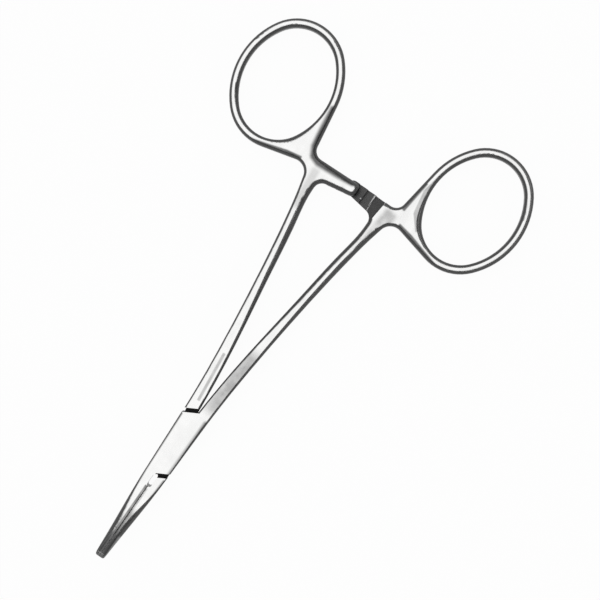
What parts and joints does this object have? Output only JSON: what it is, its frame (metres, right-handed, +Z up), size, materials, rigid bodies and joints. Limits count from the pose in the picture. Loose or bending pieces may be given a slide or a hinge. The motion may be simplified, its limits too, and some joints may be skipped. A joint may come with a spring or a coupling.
{
  "type": "hemostat forceps",
  "caption": "Curved locking forceps with finger rings, a toothed ratchet, a box lock and finely serrated jaws.",
  "frame": {"origin": "Where the pivot's axis meets the plane that the underside of the box rests on.", "axes": "+Y runs along the closed jaws to their tips, +X is the side of the ring of the half that passes through the box, +Z is up along the pivot's axis, the way the jaws curve."},
  "size_m": [0.074, 0.1234, 0.0086],
  "materials": {
    "steel": "fine satin stainless steel, polished on the flat tops",
    "pin_steel": "stainless rivet ground flush with the box"
  },
  "bodies": {
    "box_arm": {"box_half": "steel", "pivot_pin": "pin_steel"},
    "through_arm": {"through_half": "steel"}
  },
  "joints": [
    {"name": "pivot", "type": "hinge", "parent": "box_arm", "child": "through_arm", "pos_m": [0, 0, 0.0021], "axis": [0, 0, 1], "range_deg": [0, 50]}
  ]
}
